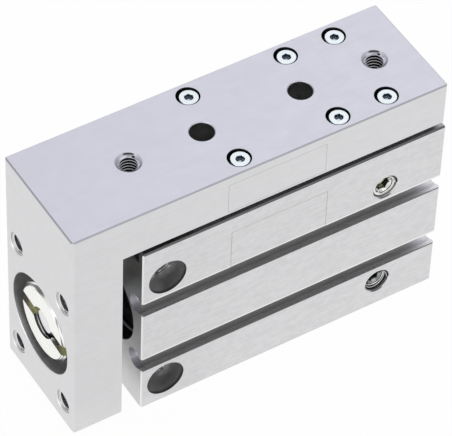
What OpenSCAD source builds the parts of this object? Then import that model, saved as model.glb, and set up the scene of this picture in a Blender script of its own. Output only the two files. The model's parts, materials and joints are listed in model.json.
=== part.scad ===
// Pneumatic slide table with a caged ball guide.
// A round cylinder in the housing drives an L-shaped slide: a table plate on top and a yoke in front.
// X runs along the travel, and the slide extends towards -X. Z is up, and Z = 0 is the housing's base.
// Lengths along X are measured from the yoke's outer face or from the housing's front face.

/* [Slide] */
// Length of the slide along its travel
slide_l = 75.5; // [73:0.5:110]
// Width of the slide and of the housing
table_w = 23.3; // [22.5:0.1:32]
// Thickness of the table plate
plate_t = 9.2; // [7:0.1:14]
// Thickness of the yoke
yoke_t = 9.9; // [8:0.1:14]
// Height of the yoke's lower edge above the housing's base
yoke_lift = 1.6; // [0.5:0.1:4]
// Chamfer on the slide's outer edges
slide_chamfer = 0.25; // [0.1:0.05:0.8]
// Radius of the slide's upright edges
slide_edge_r = 0.6; // [0.3:0.1:2]

/* [Housing] */
// Length of the housing
housing_l = 62.1; // [60:0.1:90]
// Height of the housing
housing_h = 40.6; // [38:0.1:52]
// Gap between the housing and the table plate
plate_gap = 1.4; // [0.6:0.1:3]
// Gap between the housing and the yoke
yoke_gap = 4; // [3.2:0.1:10]
// Chamfer on the housing's edges
housing_chamfer = 0.3; // [0.1:0.05:0.8]
// Thickness of the lips beside the guide channel
lip_t = 1.4; // [1:0.1:2.5]
// Depth of the guide channel
channel_depth = 3.4; // [3:0.1:4]
// Height of the lower sensor slot's centre
lower_slot_z = 11.6; // [10:0.1:14]
// Height of the upper sensor slot's centre
upper_slot_z = 26.3; // [25:0.1:28]
// Width of a sensor slot's mouth
slot_mouth_w = 3; // [2.4:0.1:3.4]
// Diameter of a sensor slot's round part
slot_d = 4.2; // [3.6:0.1:4.4]
// Depth of the round part's centre
slot_centre_depth = 2.3; // [1.8:0.05:2.4]

/* [Drive] */
// Diameter of the cylinder bore
bore_d = 16; // [13:0.1:16.4]
// Height of the piston's axis
axis_z = 19.5; // [18:0.1:21]
// Stroke of the slide
stroke = 20; // [8:0.5:21]
// Diameter of the piston rod
rod_d = 6; // [5:0.1:7.5]
// Diameter of the threads at the rod's front end
rod_thread_d = 5; // [4:0.1:5.4]
// Diameter of the rod's neck in the piston
rod_neck_d = 4; // [3:0.1:4.5]
// Length of the piston
piston_l = 12; // [11:0.1:13]
// Thickness of the elastic cushion rings
cushion_t = 1.5; // [1:0.1:2]
// Depth of the cap seats from the housing's end faces
cap_seat_depth = 8.1; // [7:0.1:9]
// Depth of the snap rings from the housing's end faces
ring_depth = 2.4; // [1.5:0.1:3]
// Diameter of the snap rings' wire
ring_wire_d = 0.8; // [0.6:0.05:1]
// Length of the bearing cap's spigot in the bore
spigot_l = 5; // [4.6:0.1:6]

/* [Coupling] */
// Diameter of the yoke's round pocket
pocket_d = 19.3; // [17:0.1:21]
// Depth of the yoke's round pocket
pocket_depth = 5.4; // [4:0.1:7]
// Diameter of the slotted coupling nut
coupling_nut_d = 15.2; // [13:0.1:16]
// Depth of the coupling nut below the yoke's face
coupling_nut_recess = 0.5; // [0.2:0.1:1.5]
// Width of the coupling nut's slot
nut_slot_w = 2.5; // [1.6:0.1:3]
// Depth of the coupling nut's slot
nut_slot_depth = 1.8; // [1:0.1:2.2]
// Angle at which the nut was left standing
nut_slot_angle = 6; // [-45:1:45]
// Diameter of the bush that carries the yoke
coupling_bush_d = 8.4; // [7.6:0.1:9.4]

/* [Guide] */
// Length of the slide's rails
rail_l = 50; // [40:0.5:64]
// Width of a slide rail
rail_w = 3.6; // [3.4:0.1:4.2]
// Distance from the rails' rear ends to the slide's end
rail_end_inset = 0.9; // [0.5:0.1:5]
// Height of the guide block
guide_block_h = 4; // [3.4:0.1:4.4]
// Diameter of the guide's balls
ball_d = 1.5; // [1.2:0.1:1.6]
// Distance between the centres of two balls
ball_pitch = 2.5; // [2:0.1:5]
// Space between a slide rail and the guide block
guide_gap = 0.75; // [0.7:0.05:0.9]
// Thickness of a ball cage
cage_t = 0.35; // [0.25:0.05:0.45]
// Height of a ball cage
cage_h = 2.6; // [2:0.1:3]

/* [Mounting] */
// Diameter of the mounting threads in the slide
mount_thread_d = 4; // [3:0.1:5]
// Distance from the yoke's face to the first thread in the table
table_thread_x = 17.7; // [14:0.1:22]
// Distance between the two threads in the table
table_thread_spacing = 50; // [40:0.5:52]
// Distance from the yoke's face to the first access hole
access_x = 32.3; // [28:0.1:40]
// Distance between the two access holes
access_spacing = 20; // [10:0.5:24]
// Diameter of the access holes
access_d = 4.5; // [3.5:0.1:6]
// Spacing of the yoke's threads across its width
yoke_thread_w = 16; // [14:0.1:18]
// Spacing of the yoke's threads along its height
yoke_thread_h = 26; // [24:0.1:28]
// Diameter of the housing's side mounting holes
side_hole_d = 4.5; // [3.4:0.1:5]
// Diameter of their counterbores
side_counterbore_d = 7.5; // [6:0.1:8]
// Depth of their counterbores
side_counterbore_depth = 4.4; // [3:0.1:6]
// Distance from the housing's front face to the side mounting holes
side_hole_x = 5; // [4.5:0.1:8]
// Height of the lower side mounting hole
side_hole_z = 5.5; // [4.5:0.1:7]
// Distance between the two side mounting holes
side_hole_spacing = 27; // [25:0.1:28]

/* [Air ports] */
// Diameter of the air port threads
port_d = 5; // [4:0.1:5]
// Depth of the port threads
port_depth = 6; // [5:0.1:7]
// Height of the lower ports
lower_port_z = 6.2; // [5:0.1:7]
// Height of the upper ports
upper_port_z = 31.2; // [30:0.1:32]
// Distance from the side mounting holes to the side ports
side_port_spacing = 45; // [43:0.1:46]
// Diameter of the drilled air channels
channel_d = 2.5; // [1.5:0.1:2.6]
// Diameter of the feeds into the bore
feed_d = 1.6; // [1:0.1:1.8]
// Depth of the upper port plug below the housing's side
upper_plug_recess = 0.5; // [0.3:0.1:2]
// Depth of the lower port plug below the housing's side
lower_plug_recess = 1.1; // [0.3:0.1:2]
// Length of the port plugs
plug_l = 4.5; // [3:0.1:4.8]

/* [Fits] */
// Radial clearance of sliding and seated round parts
fit_clear = 0.05; // [0.02:0.01:0.1]
// Radial clearance of seals and balls
seal_clear = 0.03; // [0.02:0.01:0.05]
// Space that moving parts keep at rest and at the ends of the stroke
end_clear = 0.3; // [0.2:0.05:0.6]
// Space between a slide rail and the housing's lip
lip_clear = 0.35; // [0.2:0.05:0.5]

/* [Hidden] */

$fn = 48;
eps = 0.01;            // overshoot of a cut past a face
groove_cut = 1;        // a groove's cutter is this much wider than the bore
half_w = table_w / 2;

// Places along X
overall_l = yoke_t + yoke_gap + housing_l;
yoke_face_x = -overall_l / 2;
yoke_back_x = yoke_face_x + yoke_t;
slide_end_x = yoke_face_x + slide_l;
front_x = yoke_back_x + yoke_gap;      // housing's front face
rear_x = front_x + housing_l;          // housing's rear face

// Places along Z
plate_z = housing_h + plate_gap;       // table plate's underside
top_z = plate_z + plate_t;
channel_z = housing_h - channel_depth; // guide channel's floor

// Cylinder stack along X, from the housing's front face
seat_d = bore_d + 1.2;
ring_groove_d = bore_d + 2;
ring_groove_w = ring_wire_d + 0.1;
cap_flange_l = cap_seat_depth - ring_depth - ring_groove_w;
cap_nose_d = bore_d - 1.6;
cap_front_x = front_x + ring_depth + ring_groove_w;
cap_inner_x = front_x + cap_seat_depth + spigot_l;
cushion_inset = 0.2;   // from the cap's nose to the cushion's rim
cushion_bore_clear = 1.2;
piston_front_x = cap_inner_x + cushion_t + end_clear + stroke;
piston_rear_x = piston_front_x + piston_l;
end_cap_inner_x = piston_rear_x + end_clear + cushion_t;
end_cap_seat_x = rear_x - cap_seat_depth;
end_cap_rear_x = rear_x - ring_depth - ring_groove_w;
end_recess_d = 8;      // blind recess in the end cap's outer face
end_recess_depth = 3;
cushion_od = cap_nose_d - 2 * cushion_inset;
cushion_id = rod_d + 2 * cushion_bore_clear;
oring_wire_d = 1.5;
oring_relief = 0.02;   // the ring's section is drawn this much under its groove
oring_groove_w = 1.7;
oring_bottom_d = bore_d - 2 * oring_wire_d;
groove_inset = 0.5;    // from the spigot's end to its O-ring groove
cap_nose_l = 2.4;
bearing_groove_x = front_x + cap_seat_depth + groove_inset;
side_port_x = front_x + side_hole_x + side_port_spacing;
feed_angle = 40;       // between the slanted feeds and the vertical
front_feed_x = cap_inner_x - cap_nose_l / 2;      // where the front feed meets the bore
nose_overlap = 0.6;    // how far the end cap's nose reaches past the rear feed
end_nose_x = side_port_x + feed_d / 2 / cos(feed_angle) + nose_overlap;
end_groove_x = end_nose_x + groove_inset;

// Rod seal and bush in the bearing cap
rod_seal_od = rod_d + 4;
rod_seal_l = 2.6;
rod_seal_end_gap = 0.1;
rod_seal_relief = 0.2; // the seal's heel stands this far off the rod
seal_lip_t = 0.3;      // extra width of a free lip at its root
bush_shoulder_l = 1.2;
cap_rod_clear = 0.3;   // radial space round the rod in the cap
rod_bush_od = rod_d + 2;
rod_bush_l = cap_flange_l + spigot_l - rod_seal_l - bush_shoulder_l;
lip_h = 0.6;           // height of a seal's free lip

// Piston: two halves that clamp a ring magnet
piston_d = bore_d - 4 * fit_clear;
piston_front_l = piston_l * 5 / 12;
magnet_l = piston_l / 4;
magnet_od = bore_d - 1;
spigot_d = rod_neck_d + 4;
piston_spigot_l = magnet_l + 1;
seal_land_w = 1.2;     // wall in front of the seal's groove
seal_groove_w = 2.4;
seal_groove_d = bore_d - 4;
guide_land_w = 0.8;    // wall behind the guide ring's groove
guide_ring_w = 2;
guide_ring_t = 0.8;
guide_groove_d = bore_d - 2 * guide_ring_t - 2 * fit_clear;
guide_ring_x = piston_rear_x - guide_ring_w - guide_land_w;
piston_seal_x = piston_front_x + seal_land_w;
piston_seal_slack = 0.2;
seal_lip_w = 0.5;
piston_nut_af = 7;
piston_nut_t = 2.2;
nut_recess_d = piston_nut_af / cos(30) + 6 * fit_clear;
nut_rear_gap = 0.2;    // from the nut to the piston's rear face
neck_rear_gap = 0.4;   // from the neck's end to the piston's rear face
spigot_end_gap = 0.1;

// Coupling between the rod and the yoke
web_clear = 0.3;       // radial play of the bush in the yoke
web_hole_d = coupling_bush_d + 2 * web_clear;
coupling_play = 0.1;
bush_flange_d = 12;
bush_flange_t = 1.5;
bush_front_x = yoke_face_x + pocket_depth - 2 * coupling_play;
rod_shoulder_x = yoke_back_x + coupling_play + bush_flange_t;
nut_face_x = yoke_face_x + coupling_nut_recess;
nut_chamfer = 0.7;
nut_face_d = coupling_nut_d - 2 * nut_chamfer;
nut_well_d = 6.2;
nut_well_depth = 2.4;
rod_tip_recess = 0.5;  // from the nut's face to the rod's end
rod_tip_chamfer = 0.3;
rod_tip_d = rod_thread_d - 2 * rod_tip_chamfer;
rod_tip_x = nut_face_x + rod_tip_recess;
flat_l = 2;
flat_af = rod_d - 1;

// Ball guide
rail_outer_y = half_w - lip_t - lip_clear;
rail_inner_y = rail_outer_y - rail_w;
block_y = rail_inner_y - guide_gap;
ball_y = (rail_inner_y + block_y) / 2;
rail_rear_x = slide_end_x - rail_end_inset;
rail_front_x = rail_rear_x - rail_l;
rail_bottom_z = channel_z + end_clear;
rail_h = plate_z - rail_bottom_z;
ball_rise = 0.3;       // the balls run this far above the block's middle
ball_z = channel_z + guide_block_h / 2 + ball_rise;
groove_r = ball_d / 2 + seal_clear;
groove_reach = groove_r * sqrt(2);     // from the ball's centre to the V's root
ball_to_face = guide_gap / 2;
stop_t = 1;
stop_head_t = 1.1;
stop_screw_d = 2;
stop_screw_l = 4;
stop_head_d = 3.6;
stop_slot_w = 0.5;
stop_head_inset = 0.1; // from the housing's end face to the stop screw's head
block_inset = stop_t + stop_head_t + stop_head_inset;
cage_end_clear = 0.4;  // space that a cage keeps from its stops at the ends of the stroke
block_front_x = front_x + block_inset;
block_rear_x = rear_x - block_inset;
cage_front_x = max(rail_front_x, block_front_x + stroke / 2) + cage_end_clear;
cage_rear_x = min(block_rear_x, rail_rear_x - stroke / 2) - cage_end_clear;
cage_l = cage_rear_x - cage_front_x;
cage_end_margin = 1.2;
ball_count = floor((cage_l - 2 * cage_end_margin) / ball_pitch) + 1;
ball_run = (ball_count - 1) * ball_pitch;
first_ball_x = (cage_front_x + cage_rear_x - ball_run) / 2;

// M2 cap screws that hold the slide's rails
rail_screw_d = 2;
rail_screw_l = 10;
rail_head_d = 3.8;
rail_head_h = 2;
rail_head_recess = 0.35;
head_chamfer = 0.2;
rail_hex_af = 1.5;
rail_counterbore_d = 4.4;
rail_hole_d = rail_screw_d + 0.6;       // the plate leaves the screws room to line up the rails
rail_screw_shift = 0.2;                 // the aligned rails hold the screws off their holes' centres
rail_screw_inset = 1.4;                 // from the rail's outer side
rail_screw_y = rail_outer_y - rail_screw_inset;
rail_screw_steps = [rail_l / 5, rail_l * 3 / 5, rail_l * 4 / 5];

// M3 countersunk screws and dowels that hold the guide block
block_screw_d = 3;
block_screw_l = 8;
block_head_d = 5.6;
block_head_h = 1.6;
block_head_recess = 0.1;
block_hex_depth = 1.2;
block_hex_af = 2;
block_top_z = channel_z + guide_block_h;
dowel_d = 2;
dowel_l = 5.6;
dowel_inset = 6.8;
dowel_recess = 0.2;

// Housing details
plug_d = port_d - 2 * fit_clear;
plug_chamfer = 0.2;
plug_hex_af = 2.5;
plug_hex_depth = 1.4;
plug_lead_d = 3.8;     // mouth of the cone that leads into the hexagon
port_chamfer = 0.2;
rear_port_rise = 0.6;  // the upper rear port sits this much above its channel
thread_chamfer = 0.4;
slot_chamfer = 0.12;   // on the lips of a sensor slot
hole_chamfer = 0.15;

aluminium = [0.80, 0.81, 0.83];
steel = [0.62, 0.63, 0.66];
hard_steel = [0.45, 0.46, 0.49];
nickel = [0.85, 0.86, 0.87];
brass = [0.76, 0.66, 0.36];
seal_black = [0.10, 0.10, 0.11];
cushion_tan = [0.66, 0.55, 0.36];

// ---- Helpers ------------------------------------------------------------------

// A cylinder along X between two places, on the piston's axis
module axis_cyl(d, x1, x2, d2 = 0) {
    translate([x1, 0, axis_z]) rotate([0, 90, 0])
        cylinder(d1 = d, d2 = d2 == 0 ? d : d2, h = x2 - x1);
}

// A plain ring along X on the piston's axis
module axis_ring(od, id, x1, x2) {
    difference() {
        axis_cyl(od, x1, x2);
        axis_cyl(id, x1 - eps, x2 + eps);
    }
}

// A round section of radius r swept round the piston's axis at a given radius
module axis_torus(centre_r, r, x, angle = 360) {
    translate([x, 0, axis_z]) rotate([0, 90, 0])
        rotate_extrude(angle = angle) translate([centre_r, 0]) circle(r = r, $fn = 24);
}

// A prism with a hexagonal section, given across its flats
module hex_prism(af, h) {
    cylinder(d = af / cos(30), h = h, $fn = 6);
}

// A rectangle with chamfered corners, from the origin
module chamfered_rect(w, h, c) {
    polygon([[c, 0], [w - c, 0], [w, c], [w, h - c], [w - c, h], [c, h], [0, h - c], [0, c]]);
}

// A rectangle with rounded corners, from the origin
module rounded_rect(w, h, r) {
    translate([r, 0]) square([w - 2 * r, h]);
    translate([0, r]) square([w, h - 2 * r]);
    for (x = [r, w - r])
        for (y = [r, h - r])
            translate([x, y]) circle(r = r);
}

// Extrudes a section drawn in Y and Z along X
module along_x(x1, x2) {
    translate([x1, 0, 0]) rotate([90, 0, 90]) linear_extrude(x2 - x1) children();
}

// Mirrors its children to the far side too
module both_sides() {
    children();
    mirror([0, 1, 0]) children();
}

// ---- Slide ----------------------------------------------------------------------

// Side outline of the L: the yoke hangs from the plate's front end
module slide_outline() {
    c = slide_chamfer;
    polygon([
        [yoke_face_x, yoke_lift + c], [yoke_face_x + c, yoke_lift],
        [yoke_back_x - c, yoke_lift], [yoke_back_x, yoke_lift + c],
        [yoke_back_x, plate_z], [slide_end_x - c, plate_z],
        [slide_end_x, plate_z + c], [slide_end_x, top_z - c],
        [slide_end_x - c, top_z], [yoke_face_x + c, top_z], [yoke_face_x, top_z - c]
    ]);
}

module slide_blank() {
    intersection() {
        translate([0, half_w, 0]) rotate([90, 0, 0]) linear_extrude(table_w) slide_outline();
        along_x(yoke_face_x - eps, slide_end_x + eps)
            translate([-half_w, 0]) chamfered_rect(table_w, top_z, slide_chamfer);
        translate([yoke_face_x, -half_w, 0])
            linear_extrude(top_z + eps) rounded_rect(slide_l, table_w, slide_edge_r);
    }
}

// Centres of the four threads in the yoke
module at_yoke_threads() {
    for (sy = [-1, 1])
        for (sz = [-1, 1])
            translate([yoke_face_x, sy * yoke_thread_w / 2, axis_z + sz * yoke_thread_h / 2])
                rotate([0, 90, 0]) children();
}

// A through thread along +Z from the origin, with a chamfered mouth at both ends
module thread_cut(d, depth) {
    translate([0, 0, -eps]) cylinder(d = d, h = depth + 2 * eps);
    translate([0, 0, -eps]) cylinder(d1 = d + 2 * thread_chamfer, d2 = d, h = thread_chamfer);
    translate([0, 0, depth - thread_chamfer + eps])
        cylinder(d1 = d, d2 = d + 2 * thread_chamfer, h = thread_chamfer);
}

// Centres of the M2 screws that hold the rails, or of their holes in the plate without the shift
module at_rail_screws(shift = rail_screw_shift) {
    for (step = rail_screw_steps)
        both_sides() translate([rail_front_x + step + shift, -rail_screw_y, top_z]) children();
}

module slide() {
    color(aluminium) difference() {
        slide_blank();
        axis_cyl(pocket_d, yoke_face_x - eps, yoke_face_x + pocket_depth);
        axis_cyl(pocket_d + 2 * hole_chamfer, yoke_face_x - eps, yoke_face_x + hole_chamfer, pocket_d);
        axis_cyl(web_hole_d, yoke_face_x, yoke_back_x + eps);
        at_yoke_threads() thread_cut(mount_thread_d, yoke_t);
        for (x = [table_thread_x, table_thread_x + table_thread_spacing])
            translate([yoke_face_x + x, 0, plate_z]) thread_cut(mount_thread_d, plate_t);
        for (x = [access_x, access_x + access_spacing])
            translate([yoke_face_x + x, 0, plate_z - eps]) {
                cylinder(d = access_d, h = plate_t + 2 * eps);
                translate([0, 0, plate_t - hole_chamfer])
                    cylinder(d1 = access_d, d2 = access_d + 2 * hole_chamfer, h = hole_chamfer + 2 * eps);
            }
        at_rail_screws(shift = 0) {
            translate([0, 0, -plate_t - eps]) cylinder(d = rail_hole_d, h = plate_t);
            translate([0, 0, -rail_head_recess - rail_head_h])
                cylinder(d = rail_counterbore_d, h = rail_head_recess + rail_head_h + eps);
        }
    }
}

module rail_screws() {
    color(nickel) at_rail_screws() translate([0, 0, -rail_head_recess - rail_head_h]) difference() {
        union() {
            translate([0, 0, -rail_screw_l]) cylinder(d = rail_screw_d, h = rail_screw_l + eps);
            cylinder(d = rail_head_d, h = rail_head_h - head_chamfer);
            translate([0, 0, rail_head_h - head_chamfer])
                cylinder(d1 = rail_head_d, d2 = rail_head_d - 2 * head_chamfer, h = head_chamfer);
        }
        translate([0, 0, rail_head_h / 2]) hex_prism(rail_hex_af, rail_head_h);
    }
}

// Half section of a V-groove, opening towards -Y from a face at the given distance from the ball
module groove_section(face_offset) {
    depth = groove_reach - face_offset;
    polygon([[-eps, -depth - eps], [depth, 0], [-eps, depth + eps]]);
}

// The rail on the near side, which hangs from the plate beside the housing's lip
module slide_rail() {
    color(hard_steel) difference() {
        translate([rail_front_x, -rail_outer_y, rail_bottom_z]) cube([rail_l, rail_w, rail_h]);
        along_x(rail_front_x - eps, rail_rear_x + eps)
            translate([-rail_inner_y, ball_z]) mirror([1, 0]) groove_section(ball_to_face);
        for (step = rail_screw_steps)
            translate([rail_front_x + step + rail_screw_shift, -rail_screw_y, rail_bottom_z - eps])
                cylinder(d = rail_screw_d + 2 * fit_clear, h = rail_h + 2 * eps);
    }
}

module slide_rail_near() {
    slide_rail();
}

module slide_rail_far() {
    mirror([0, 1, 0]) slide_rail();
}

// ---- Ball guide -----------------------------------------------------------------

module at_block_screws() {
    for (x = [access_x, access_x + access_spacing])
        translate([yoke_face_x + x, 0, block_top_z]) children();
}

module at_dowels() {
    for (x = [block_front_x + dowel_inset, block_rear_x - dowel_inset])
        translate([x, 0, block_top_z - dowel_l - dowel_recess]) children();
}

module guide_block() {
    color(hard_steel) difference() {
        translate([block_front_x, -block_y, channel_z])
            cube([block_rear_x - block_front_x, 2 * block_y, guide_block_h]);
        both_sides() along_x(block_front_x - eps, block_rear_x + eps)
            translate([-block_y, ball_z]) groove_section(ball_to_face);
        at_block_screws() {
            translate([0, 0, -guide_block_h - eps])
                cylinder(d = block_screw_d + 4 * fit_clear, h = guide_block_h + 2 * eps);
            translate([0, 0, -block_head_recess - block_head_h]) cylinder(
                d1 = block_screw_d + 2 * fit_clear, d2 = block_head_d + 2 * fit_clear, h = block_head_h);
            translate([0, 0, -block_head_recess - eps])
                cylinder(d = block_head_d + 2 * fit_clear, h = block_head_recess + 2 * eps);
        }
        at_dowels() translate([0, 0, -eps]) cylinder(d = dowel_d + 2 * fit_clear, h = 2 * dowel_l);
        for (x = [block_front_x - eps, block_rear_x - stop_screw_l + eps])
            translate([x, 0, ball_z]) rotate([0, 90, 0])
                cylinder(d = stop_screw_d + 2 * fit_clear, h = stop_screw_l);
    }
}

module guide_block_screws() {
    color(steel) at_block_screws() translate([0, 0, -block_head_recess]) difference() {
        union() {
            translate([0, 0, -block_screw_l])
                cylinder(d = block_screw_d, h = block_screw_l - block_head_h + eps);
            translate([0, 0, -block_head_h])
                cylinder(d1 = block_screw_d, d2 = block_head_d, h = block_head_h);
        }
        translate([0, 0, -block_hex_depth]) hex_prism(block_hex_af, block_hex_depth + eps);
    }
}

module guide_dowels() {
    color(steel) at_dowels() cylinder(d = dowel_d, h = dowel_l);
}

// End plate that keeps the ball cages between the rails
module guide_stop(x) {
    color(steel) difference() {
        translate([x, -rail_inner_y + end_clear, channel_z + end_clear])
            cube([stop_t, 2 * (rail_inner_y - end_clear), guide_block_h - end_clear]);
        translate([x - eps, 0, ball_z]) rotate([0, 90, 0])
            cylinder(d = stop_screw_d + 4 * fit_clear, h = stop_t + 2 * eps);
    }
}

module guide_stop_front() {
    guide_stop(block_front_x - stop_t);
}

module guide_stop_rear() {
    guide_stop(block_rear_x);
}

// A slotted pan-head screw along +X from its head's seat
module stop_screw() {
    rotate([0, 90, 0]) difference() {
        union() {
            translate([0, 0, -eps]) cylinder(d = stop_screw_d, h = stop_screw_l + eps);
            translate([0, 0, -stop_head_t]) cylinder(d = stop_head_d, h = stop_head_t);
        }
        translate([-stop_slot_w / 2, -stop_head_d, -stop_head_t - eps])
            cube([stop_slot_w, 2 * stop_head_d, stop_slot_w]);
    }
}

module guide_stop_screws() {
    color(steel) {
        translate([block_front_x - stop_t, 0, ball_z]) stop_screw();
        translate([block_rear_x + stop_t, 0, ball_z]) mirror([1, 0, 0]) stop_screw();
    }
}

// Places the balls' centres of the near side
module at_balls() {
    for (i = [0 : ball_count - 1])
        translate([first_ball_x + i * ball_pitch, -ball_y, ball_z]) children();
}

module ball_cage() {
    color(brass) difference() {
        translate([cage_front_x, -ball_y - cage_t / 2, ball_z - cage_h / 2]) cube([cage_l, cage_t, cage_h]);
        at_balls() rotate([90, 0, 0])
            cylinder(d = ball_d + 2 * seal_clear, h = 2 * ball_d, center = true, $fn = 24);
    }
}

module balls() {
    color(nickel) at_balls() sphere(d = ball_d, $fn = 24);
}

module ball_cage_near() {
    ball_cage();
}

module ball_cage_far() {
    mirror([0, 1, 0]) ball_cage();
}

module balls_near() {
    balls();
}

module balls_far() {
    mirror([0, 1, 0]) balls();
}

// ---- Housing ----------------------------------------------------------------------

// Section of one sensor slot in the near side: a narrow mouth and a round part
module slot_section() {
    c = slot_chamfer;
    m = slot_mouth_w / 2;
    translate([-half_w, 0]) {
        translate([-eps, -m]) square([slot_centre_depth, slot_mouth_w]);
        polygon([[-eps, -m - c - eps], [c, -m], [c, m], [-eps, m + c + eps]]);
        translate([slot_centre_depth, 0]) circle(d = slot_d);
    }
}

module housing_blank() {
    c = housing_chamfer;
    intersection() {
        along_x(front_x, rear_x)
            translate([-half_w, 0]) chamfered_rect(table_w, housing_h, c);
        translate([0, half_w + eps, 0]) rotate([90, 0, 0]) linear_extrude(table_w + 2 * eps)
            translate([front_x, 0]) chamfered_rect(housing_l, housing_h, c);
        translate([front_x, -half_w, -eps]) linear_extrude(housing_h + 2 * eps)
            chamfered_rect(housing_l, table_w, c);
    }
}

// The seat, the snap ring's groove and the chamfered mouth at one end, drawn for the front end
module cap_seat() {
    axis_cyl(seat_d, front_x - eps, front_x + cap_seat_depth);
    axis_cyl(ring_groove_d, front_x + ring_depth, front_x + ring_depth + ring_groove_w);
    axis_cyl(seat_d + 2 * hole_chamfer, front_x - eps, front_x + hole_chamfer, seat_d);
}

// Threaded mouth of an air port along +Z from the origin
module port_cut() {
    translate([0, 0, -eps]) cylinder(d = port_d, h = port_depth);
    translate([0, 0, -eps]) cylinder(d1 = port_d + 2 * port_chamfer, d2 = port_d, h = port_chamfer);
}

// Air channel along X from a place in the housing to the rear port
module channel_cut(x, z) {
    translate([x, 0, z]) rotate([0, 90, 0]) cylinder(d = channel_d, h = rear_x - port_depth / 2 - x);
}

// Feed drilled at a slant through the bore's mouth: it crosses the bore's wall and ends in a channel
module feed_cut(x, wall_z, z, slant) {
    l = abs(z - wall_z) / cos(feed_angle);
    translate([x, 0, wall_z]) rotate([0, slant, 0])
        translate([0, 0, -feed_d]) cylinder(d = feed_d, h = l + feed_d);
}

// Ports in the rear face and in the near side, and the channels that join them to the bore
module air_cuts() {
    bore_top = axis_z + bore_d / 2;
    bore_bottom = axis_z - bore_d / 2;
    for (z = [lower_port_z, upper_port_z + rear_port_rise])
        translate([rear_x, 0, z]) rotate([0, -90, 0]) port_cut();
    for (z = [lower_port_z, upper_port_z])
        translate([side_port_x, -half_w, z]) rotate([-90, 0, 0]) {
            port_cut();
            cylinder(d = channel_d, h = half_w + channel_d / 2);
        }
    channel_cut(front_feed_x + (upper_port_z - bore_top) * tan(feed_angle) - feed_d / 2, upper_port_z);
    channel_cut(side_port_x - (bore_bottom - lower_port_z) * tan(feed_angle) - feed_d / 2, lower_port_z);
    feed_cut(front_feed_x, bore_top, upper_port_z, feed_angle);
    feed_cut(side_port_x, bore_bottom, lower_port_z, 180 + feed_angle);
}

module side_mount_cuts() {
    for (z = [side_hole_z, side_hole_z + side_hole_spacing])
        translate([front_x + side_hole_x, -half_w, z]) rotate([-90, 0, 0]) {
            translate([0, 0, -eps]) cylinder(d = side_hole_d, h = table_w + 2 * eps);
            translate([0, 0, -eps]) cylinder(d = side_counterbore_d, h = side_counterbore_depth);
            translate([0, 0, table_w - hole_chamfer])
                cylinder(d1 = side_hole_d, d2 = side_hole_d + 2 * hole_chamfer, h = hole_chamfer + eps);
        }
}

module housing() {
    color(aluminium) difference() {
        housing_blank();
        axis_cyl(bore_d, front_x, rear_x);
        cap_seat();
        mirror([1, 0, 0]) translate([-front_x - rear_x, 0, 0]) cap_seat();
        translate([front_x - eps, -half_w + lip_t, channel_z])
            cube([housing_l + 2 * eps, table_w - 2 * lip_t, channel_depth + eps]);
        for (z = [lower_slot_z, upper_slot_z])
            along_x(front_x - eps, rear_x + eps) translate([0, z]) slot_section();
        side_mount_cuts();
        air_cuts();
        at_block_screws() translate([0, 0, -block_screw_l - end_clear])
            cylinder(d = block_screw_d + 2 * fit_clear, h = block_screw_l);
        at_dowels() translate([0, 0, -end_clear]) cylinder(d = dowel_d + 2 * fit_clear, h = dowel_l);
    }
}

// Set screw that closes one side port
module port_plug(z, recess) {
    lead_h = (plug_lead_d - plug_hex_af) / 2;
    color(nickel) translate([side_port_x, -half_w + recess, z]) rotate([-90, 0, 0]) difference() {
        union() {
            cylinder(d1 = plug_d - 2 * plug_chamfer, d2 = plug_d, h = plug_chamfer);
            translate([0, 0, plug_chamfer]) cylinder(d = plug_d, h = plug_l - plug_chamfer);
        }
        translate([0, 0, -eps]) hex_prism(plug_hex_af, plug_hex_depth);
        translate([0, 0, -eps]) cylinder(d1 = plug_lead_d, d2 = plug_hex_af, h = lead_h);
    }
}

module upper_port_plug() {
    port_plug(upper_port_z, upper_plug_recess);
}

module lower_port_plug() {
    port_plug(lower_port_z, lower_plug_recess);
}

// ---- Cylinder: parts fixed in the housing -------------------------------------------

module bearing_cap() {
    bush_seat_x = cap_front_x + rod_seal_l;
    color(aluminium) difference() {
        union() {
            axis_cyl(seat_d - 2 * fit_clear, cap_front_x, front_x + cap_seat_depth);
            axis_cyl(bore_d - 2 * fit_clear, cap_front_x, cap_inner_x - cap_nose_l);
            axis_cyl(cap_nose_d, cap_front_x, cap_inner_x);
        }
        axis_cyl(rod_seal_od, cap_front_x - eps, bush_seat_x);
        axis_cyl(rod_bush_od, cap_front_x, bush_seat_x + rod_bush_l);
        axis_cyl(rod_d + 2 * cap_rod_clear, cap_front_x, cap_inner_x + eps);
        bearing_oring_groove();
    }
}

module bearing_oring_groove() {
    axis_ring(bore_d + groove_cut, oring_bottom_d, bearing_groove_x, bearing_groove_x + oring_groove_w);
}

module rod_bush() {
    x1 = cap_front_x + rod_seal_l;
    x2 = x1 + rod_bush_l - 2 * fit_clear;
    color(brass) axis_ring(rod_bush_od - 2 * fit_clear, rod_d + 2 * fit_clear, x1, x2);
}

// Lip ring that wipes the rod and holds the air
module rod_seal() {
    r_in = rod_d / 2 + seal_clear;
    r_out = rod_seal_od / 2 - fit_clear;
    l = rod_seal_l - rod_seal_end_gap;
    color(seal_black) translate([cap_front_x, 0, axis_z]) rotate([0, 90, 0]) rotate_extrude() polygon([
        [r_in, 0], [r_in + lip_h, 0], [r_in + lip_h + seal_lip_t, lip_h], [r_out, lip_h],
        [r_out, l], [r_in + rod_seal_relief, l], [r_in, l - lip_h]
    ]);
}

module bearing_cap_oring() {
    color(seal_black) axis_torus(bore_d / 2 - oring_wire_d / 2, oring_wire_d / 2 - oring_relief,
        bearing_groove_x + oring_groove_w / 2);
}

// Open wire ring that snaps into its groove
module snap_ring(x) {
    color(steel) translate([x, 0, axis_z]) rotate([150, 0, 0]) translate([-x, 0, -axis_z])
        axis_torus(ring_groove_d / 2 - ring_wire_d / 2 - fit_clear, ring_wire_d / 2, x, 325);
}

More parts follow.
